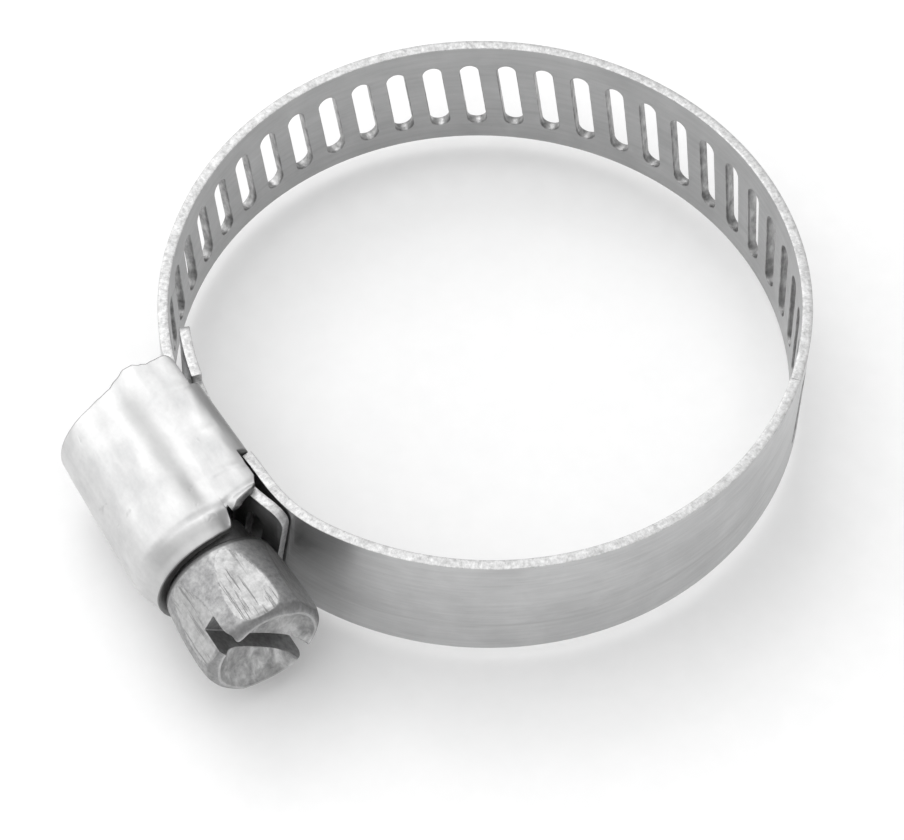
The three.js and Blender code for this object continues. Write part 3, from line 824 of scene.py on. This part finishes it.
class Nodes:
    def __init__(self, nt):
        self.nt = nt

    def link(self, a, b):
        self.nt.links.new(a, b)

    def math(self, op, a, b=None, clamp=False):
        n = self.nt.nodes.new("ShaderNodeMath")
        n.operation = op
        n.use_clamp = clamp
        for i, x in enumerate((a, b)):
            if x is None:
                continue
            if isinstance(x, (int, float)):
                n.inputs[i].default_value = x
            else:
                self.link(x, n.inputs[i])
        return n.outputs[0]

    def scaled(self, vec, scale, loc=(0, 0, 0)):
        n = self.nt.nodes.new("ShaderNodeMapping")
        n.inputs["Scale"].default_value = scale
        n.inputs["Location"].default_value = loc
        self.link(vec, n.inputs["Vector"])
        return n.outputs[0]

    def noise(self, vec, scale, detail=4.0, rough=0.55, distortion=0.0):
        n = self.nt.nodes.new("ShaderNodeTexNoise")
        n.inputs["Scale"].default_value = scale
        n.inputs["Detail"].default_value = detail
        n.inputs["Roughness"].default_value = rough
        n.inputs["Distortion"].default_value = distortion
        self.link(vec, n.inputs["Vector"])
        return n.outputs["Fac"]

    def ramp(self, fac, stops, colour=False):
        n = self.nt.nodes.new("ShaderNodeValToRGB")
        r = n.color_ramp
        while len(r.elements) < len(stops):
            r.elements.new(0.5)
        for e, (p, v) in zip(r.elements, stops):
            e.position = p
            e.color = (v, v, v, 1) if isinstance(v, (int, float)) else (*v, 1)
        self.link(fac, n.inputs["Fac"])
        return n.outputs["Color"]

    def remap(self, fac, a, b, c, d):
        n = self.nt.nodes.new("ShaderNodeMapRange")
        for i, x in enumerate((a, b, c, d)):
            n.inputs[i + 1].default_value = x
        self.link(fac, n.inputs[0])
        return n.outputs[0]

    def mix(self, fac, a, b, blend="MIX"):
        n = self.nt.nodes.new("ShaderNodeMix")
        n.data_type = "RGBA"
        n.blend_type = blend
        for i, x in ((0, fac), (6, a), (7, b)):
            if isinstance(x, (int, float)):
                n.inputs[i].default_value = x if i == 0 else (x, x, x, 1)
            elif isinstance(x, tuple):
                n.inputs[i].default_value = (*x, 1)
            else:
                self.link(x, n.inputs[i])
        return n.outputs[2]

    def bump(self, height, strength, distance, normal=None):
        n = self.nt.nodes.new("ShaderNodeBump")
        n.inputs["Strength"].default_value = strength
        n.inputs["Distance"].default_value = distance
        self.link(height, n.inputs["Height"])
        if normal is not None:
            self.link(normal, n.inputs["Normal"])
        return n.outputs[0]

    def uv(self, name):
        n = self.nt.nodes.new("ShaderNodeUVMap")
        n.uv_map = name
        return n.outputs[0]

    def coord(self):
        return self.nt.nodes.new("ShaderNodeTexCoord").outputs["Object"]

    def attr(self, name):
        n = self.nt.nodes.new("ShaderNodeAttribute")
        n.attribute_name = name
        return n.outputs["Fac"]


def band_material():
    m, nt, b = new_material("band_satin_steel", None)
    N = Nodes(nt)
    uv = N.uv("sheet")                                   # 1 unit = 10 mm, U along the strip
    rolled = N.noise(N.scaled(uv, (1.2, 60, 1)), 6.0, 5, 0.6)          # fine rolling lines along the strip
    streak = N.noise(N.scaled(uv, (0.7, 9, 1)), 4.0, 3, 0.5)
    cloud = N.noise(N.scaled(uv, (1, 1, 1)), 3.1, 4, 0.6, 0.4)
    speck = N.noise(N.scaled(uv, (1, 1, 1)), 95.0, 2, 0.7)
    tone = N.math("ADD", N.math("MULTIPLY", rolled, 0.30), N.math("ADD", N.math("MULTIPLY", streak, 0.30), N.math("MULTIPLY", cloud, 0.40)))
    colour = N.ramp(tone, [(0.30, (0.43, 0.432, 0.435)), (0.55, (0.56, 0.562, 0.564)), (0.75, (0.66, 0.661, 0.663))])
    pits = N.ramp(speck, [(0.69, 1.0), (0.76, 0.60)])
    colour = N.mix(1.0, colour, pits, "MULTIPLY")
    # a faint mark that the feed roller leaves along the strip, wandering a little
    sep = nt.nodes.new("ShaderNodeSeparateXYZ")
    N.link(uv, sep.inputs[0])
    wander = N.remap(N.noise(N.scaled(uv, (0.5, 0.2, 1), (1, 5, 0)), 1.4, 2, 0.5), 0.3, 0.7, -0.035, 0.035)
    away = N.math("ABSOLUTE", N.math("ADD", N.math("ADD", sep.outputs["Y"], 0.165), wander))
    line = N.math("MULTIPLY", N.ramp(away, [(0.0, 1.0), (0.018, 0.0)]), N.remap(cloud, 0.35, 0.65, 0.05, 0.30))
    colour = N.mix(line, colour, (0.25, 0.25, 0.25))
    # a few hair scratches that run aslant
    warp = N.noise(N.scaled(uv, (1, 1, 1), (3, 7, 0)), 2.0, 2, 0.5)
    n = nt.nodes.new("ShaderNodeTexVoronoi")
    n.feature = "DISTANCE_TO_EDGE"
    n.inputs["Scale"].default_value = 1.0
    N.link(N.scaled(uv, (0.55, 2.4, 1), (0.3, 0.17, 0)), n.inputs["Vector"])
    scratch = N.ramp(n.outputs["Distance"], [(0.0, 1.0), (0.010, 0.0)])
    some = N.ramp(warp, [(0.52, 0.0), (0.60, 1.0)])
    scratch = N.math("MULTIPLY", scratch, some)
    colour = N.mix(N.math("MULTIPLY", scratch, 0.16), colour, (0.78, 0.78, 0.78))
    # painted shade: the strip's inner face is mixed towards dark grey
    colour = N.mix(N.math("MULTIPLY", N.attr("shade"), 0.36), colour, (0.20, 0.20, 0.20))
    N.link(colour, b.inputs["Base Color"])
    b.inputs["Metallic"].default_value = 1.0
    r = N.math("ADD", N.remap(tone, 0.3, 0.75, 0.40, 0.30), N.math("MULTIPLY", scratch, 0.15))
    N.link(r, b.inputs["Roughness"])
    h = N.math("ADD", N.math("MULTIPLY", rolled, 0.7), N.math("SUBTRACT", N.math("MULTIPLY", speck, 0.25), N.math("MULTIPLY", scratch, 0.8)))
    nrm = N.bump(h, 0.22, 0.000012)
    wave = N.bump(cloud, 0.25, 0.00012, nrm)
    N.link(wave, b.inputs["Normal"])
    return m


def edge_material():
    m, nt, b = new_material("band_sheared_edge", None)
    N = Nodes(nt)
    co = N.coord()
    grain = N.noise(co, 5200.0, 3, 0.65)
    coarse = N.noise(co, 1500.0, 3, 0.6)
    uv = N.uv("sheet")
    across = N.noise(N.scaled(uv, (60, 5, 1)), 5.0, 3, 0.6)
    tone = N.math("ADD", N.math("MULTIPLY", grain, 0.45), N.math("ADD", N.math("MULTIPLY", coarse, 0.25), N.math("MULTIPLY", across, 0.30)))
    colour = N.ramp(tone, [(0.36, (0.41, 0.41, 0.41)), (0.48, (0.55, 0.55, 0.55)), (0.60, (0.68, 0.68, 0.68))])
    N.link(colour, b.inputs["Base Color"])
    b.inputs["Metallic"].default_value = 1.0
    N.link(N.remap(tone, 0.35, 0.65, 0.62, 0.42), b.inputs["Roughness"])
    N.link(N.bump(tone, 0.55, 0.00005), b.inputs["Normal"])
    return m


def shaded_slot_wall_material():
    # painted shade: a darker copy of the sheared-edge finish, standing in for the shade inside the punched slots
    m, nt, b = new_material("band_punched_wall_painted_shade", None)
    N = Nodes(nt)
    co = N.coord()
    grain = N.noise(N.scaled(co, (1, 1, 0.35)), 3800.0, 3, 0.6)
    coarse = N.noise(co, 900.0, 2, 0.5)
    tone = N.math("ADD", N.math("MULTIPLY", grain, 0.6), N.math("MULTIPLY", coarse, 0.4))
    N.link(N.ramp(tone, [(0.36, (0.22, 0.22, 0.22)), (0.50, (0.34, 0.34, 0.34)), (0.62, (0.46, 0.46, 0.46))]), b.inputs["Base Color"])
    b.inputs["Metallic"].default_value = 1.0
    N.link(N.remap(tone, 0.35, 0.65, 0.50, 0.36), b.inputs["Roughness"])
    N.link(N.bump(tone, 0.35, 0.00004), b.inputs["Normal"])
    return m


def housing_material(edge=False):
    m, nt, b = new_material("housing_sheared_edge_painted_shade" if edge else "housing_bright_steel", None)
    N = Nodes(nt)
    co = N.coord()
    cloud = N.noise(co, 380.0, 4, 0.55, 0.3)
    fine = N.noise(co, 4200.0, 3, 0.6)
    drawn = N.noise(N.scaled(co, (0.35, 1, 1)), 1500.0, 3, 0.55)
    stain = N.noise(N.scaled(co, (1, 1, 1), (0.02, 0.01, 0.03)), 900.0, 2, 0.6, 0.6)
    tone = N.math("ADD", N.math("MULTIPLY", cloud, 0.5), N.math("ADD", N.math("MULTIPLY", fine, 0.15), N.math("MULTIPLY", drawn, 0.35)))
    # painted shade: the shell's cut edges, the collar's lip among them, are made much darker than the band's sheared
    # edges, standing in for the shadow between the lip and the screw head
    if edge:
        colour = N.ramp(tone, [(0.3, (0.20, 0.20, 0.20)), (0.7, (0.34, 0.34, 0.34))])
    else:
        colour = N.ramp(tone, [(0.32, (0.53, 0.532, 0.535)), (0.50, (0.62, 0.62, 0.62)), (0.68, (0.71, 0.71, 0.71))])
        marks = N.ramp(stain, [(0.20, 0.62), (0.30, 1.0)])
        colour = N.mix(1.0, colour, marks, "MULTIPLY")
        # painted shade: the hollow, the collar and the flange's fold, marked by the shell's shade attribute, are mixed
        # towards dark grey
        painted_shade_amount = N.math("MULTIPLY", N.attr("shade"), N.remap(cloud, 0.3, 0.7, 0.72, 1.0))
        colour = N.mix(painted_shade_amount, colour, (0.36, 0.36, 0.36))
    N.link(colour, b.inputs["Base Color"])
    b.inputs["Metallic"].default_value = 1.0
    N.link(N.remap(tone, 0.3, 0.7, 0.52, 0.40), b.inputs["Roughness"])
    pit = N.ramp(stain, [(0.20, 0.0), (0.32, 1.0)])
    n1 = N.bump(tone, 0.30, 0.00006)
    n2 = N.bump(pit, 0.35, 0.00006, n1)
    N.link(n2, b.inputs["Normal"])
    return m


def screw_material(floor=False):
    m, nt, b = new_material("screw_slot_floor_painted_light" if floor else "screw_plated_steel", None)
    N = Nodes(nt)
    co = N.coord()
    grain = N.noise(co, 3600.0, 4, 0.65)
    cloud = N.noise(co, 700.0, 4, 0.6, 0.5)
    facet = N.ramp(N.attr("facet"), [(0.45, 0.0), (0.55, 1.0)])
    # drawn scratches along the screw on the driving flats
    lines = N.noise(N.scaled(co, (0.07, 1, 1)), 5200.0, 3, 0.6)
    gate = N.noise(N.scaled(co, (0.25, 1, 1), (0.004, 0, 0)), 900.0, 2, 0.5)
    scratch = N.math("MULTIPLY", N.ramp(lines, [(0.545, 0.0), (0.615, 1.0)]), N.ramp(gate, [(0.38, 0.0), (0.48, 1.0)]))
    scratch = N.math("MULTIPLY", scratch, facet)
    tone = N.math("ADD", N.math("MULTIPLY", grain, 0.55), N.math("MULTIPLY", cloud, 0.45))
    body = N.ramp(tone, [(0.34, (0.25, 0.25, 0.252)), (0.5, (0.345, 0.345, 0.347)), (0.66, (0.46, 0.46, 0.46))])
    flat = N.ramp(tone, [(0.34, (0.36, 0.36, 0.36)), (0.5, (0.455, 0.455, 0.455)), (0.66, (0.55, 0.55, 0.55))])
    colour = N.mix(facet, body, flat)
    colour = N.mix(N.math("MULTIPLY", scratch, 0.7), colour, (0.22, 0.22, 0.22))
    # the dished end is scuffed by drivers
    dish = N.ramp(N.attr("dish"), [(0.45, 0.0), (0.55, 1.0)])
    scuff = N.noise(N.scaled(co, (1, 1, 0.45), (0.013, 0.004, 0.002)), 1150.0, 5, 0.66, 0.35)
    wear_and_painted_shade = N.ramp(scuff, [(0.38, (0.25, 0.25, 0.25)), (0.50, (0.42, 0.42, 0.42)), (0.62, (0.68, 0.68, 0.68))])
    colour = N.mix(N.math("MULTIPLY", dish, 0.70), colour, wear_and_painted_shade)
    # painted shade on the head's shoulder and on its rear face next to the collar
    colour = N.mix(N.math("MULTIPLY", N.attr("bevel"), 0.42, True), colour, (0.16, 0.16, 0.16))
    # painted highlight along the rim's crest
    colour = N.mix(N.math("MULTIPLY", N.attr("crest"), 0.38), colour, (0.66, 0.66, 0.66))
    # painted light: the floor of the driver slot is lightened towards pale grey
    if floor:
        colour = N.mix(0.55, colour, (0.85, 0.85, 0.85))
    N.link(colour, b.inputs["Base Color"])
    b.inputs["Metallic"].default_value = 1.0
    N.link(N.remap(tone, 0.35, 0.65, 0.58, 0.44), b.inputs["Roughness"])
    h = N.math("SUBTRACT", N.math("MULTIPLY", tone, 0.8), N.math("MULTIPLY", scratch, 0.7))
    N.link(N.bump(h, 0.5, 0.00005), b.inputs["Normal"])
    return m


# ------------------------------------------------------------------ camera, floor, light
SOFTBOX, KEY, LEFT, WORLD = 3.8, 0.70, 0.85, 0.60


def build_stage():
    el, az, roll = math.radians(54.5), math.radians(56.93), math.radians(1.55)
    d, f_px = 210.7, 3829.3
    back = Vector((math.sin(az) * math.cos(el), -math.cos(az) * math.cos(el), math.sin(el)))
    right = Vector((math.cos(az), math.sin(az), 0))
    up = back.cross(right)
    pos = back * d
    target = right * (-1.643) + up * (-4.752)
    bz = (pos - target).normalized()
    rx = Vector((0, 0, 1)).cross(bz).normalized()
    uy = bz.cross(rx)
    c, s = math.cos(roll), math.sin(roll)
    X, Y = rx * c + uy * s, uy * c - rx * s
    cam_data = bpy.data.cameras.new("camera")
    cam = bpy.data.objects.new("camera", cam_data)
    scene.collection.objects.link(cam)
    cam_data.sensor_fit = "HORIZONTAL"
    cam_data.sensor_width = 36.0
    cam_data.lens = f_px * 36.0 / 904
    cam_data.clip_start, cam_data.clip_end = 0.01, 5.0
    m = Matrix(((X.x, Y.x, bz.x, pos.x * MM), (X.y, Y.y, bz.y, pos.y * MM), (X.z, Y.z, bz.z, pos.z * MM), (0, 0, 0, 1)))
    cam.matrix_world = m
    scene.camera = cam

    # pale floor under the clamp, a flat disc 1.2 m in radius
    z0 = cad_lo.z - 0.0002
    fm = bpy.data.meshes.new("floor")
    n, R = 96, 1.2
    verts, faces = [(0, 0, z0)], []
    for i in range(n):
        a = 2 * math.pi * i / n
        verts.append((R * math.cos(a), R * math.sin(a), z0))
    for i in range(n):
        faces.append((0, 1 + i, 1 + (i + 1) % n))
    fm.from_pydata(verts, [], faces)
    floor = bpy.data.objects.new("floor", fm)
    scene.collection.objects.link(floor)
    mat, nt, b = new_material("floor_white", None)
    N = Nodes(nt)
    speck = N.noise(N.coord(), 900.0, 2, 0.5)
    N.link(N.ramp(speck, [(0.3, (0.87, 0.87, 0.87)), (0.7, (0.89, 0.89, 0.89))]), b.inputs["Base Color"])
    b.inputs["Emission Color"].default_value = (1.0, 1.0, 1.0, 1)
    b.inputs["Emission Strength"].default_value = 0.07
    b.inputs["Roughness"].default_value = 0.85
    b.inputs["Specular IOR Level"].default_value = 0.1
    fm.materials.append(mat)

    world = bpy.data.worlds.new("studio")
    scene.world = world
    world.use_nodes = True
    bg = world.node_tree.nodes["Background"]
    bg.inputs["Color"].default_value = (1.0, 1.0, 1.0, 1)
    bg.inputs["Strength"].default_value = WORLD

    def area(name, at, look, size, power, shape="RECTANGLE", size_y=None):
        ld = bpy.data.lights.new(name, "AREA")
        ld.shape = shape
        ld.size = size
        if size_y:
            ld.size_y = size_y
        ld.energy = power
        lo = bpy.data.objects.new(name, ld)
        scene.collection.objects.link(lo)
        p, t = Vector(at), Vector(look)
        lo.location = p
        lo.rotation_mode = "QUATERNION"
        lo.rotation_quaternion = (t - p).to_track_quat("-Z", "Y")
        return lo

    # directions on the floor: right of the picture, and away from the camera
    away = Vector((-back.x, -back.y, 0)).normalized()
    area("softbox", away * 0.02 - right * 0.18 + Vector((0, 0, 0.75)), (0, 0, 0), 1.1, SOFTBOX, size_y=1.1)
    area("key", away * 0.40 - right * 0.16 + Vector((0, 0, 0.46)), (0, 0, 0), 0.42, KEY, size_y=0.30)
    area("left_panel", -right * 0.62 + away * 0.05 + Vector((0, 0, 0.22)), (0, 0, 0.0), 0.55, LEFT, size_y=0.36)
    scene.view_settings.view_transform = "Standard"


# ------------------------------------------------------------------ assembly
band_m, edge_m, punched_shade_m = band_material(), edge_material(), shaded_slot_wall_material()
house_m, house_edge_shade = housing_material(), housing_material(True)
screw_m = screw_material()

tail = build_tail()
run_2 = build_slotted("band_slotted_left", SEAM_1, SEAM_2, (SEAM_1, SEAM_2))
run_3 = build_slotted("band_slotted_far", SEAM_2, SEAM_3, (SEAM_2, SEAM_3))
run_4 = build_last_slotted()
plain = build_plain()
fixed = build_fixed()
for ob in (tail, run_2, run_3, run_4, plain, fixed):
    ob.data.materials.append(band_m)
    ob.data.materials.append(edge_m)
    ob.data.materials.append(punched_shade_m)
finish_band(tail)
finish_band(run_2)
finish_band(run_3)
finish_band(run_4)
finish_band(plain)
finish_band(fixed)
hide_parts("band_feed_run", "band_slotted_arc_1")
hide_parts("band_slotted_arc_2")
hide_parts("band_slotted_arc_3")
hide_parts("band_slotted_arc_4")
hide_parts("band_plain_arc_2")
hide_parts("band_plain_arc_1", "band_fixed_end")

shell = build_housing()
shell.data.materials.append(house_m)
shell.data.materials.append(house_edge_shade)
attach(shell, "housing")
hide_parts("housing")

screw = build_screw()
screw.data.materials.clear()
screw.data.materials.append(screw_m)
screw.data.materials.append(screw_material(True))
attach(screw, "screw")
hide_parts("worm_screw")

build_stage()

bpy.context.view_layer.update()
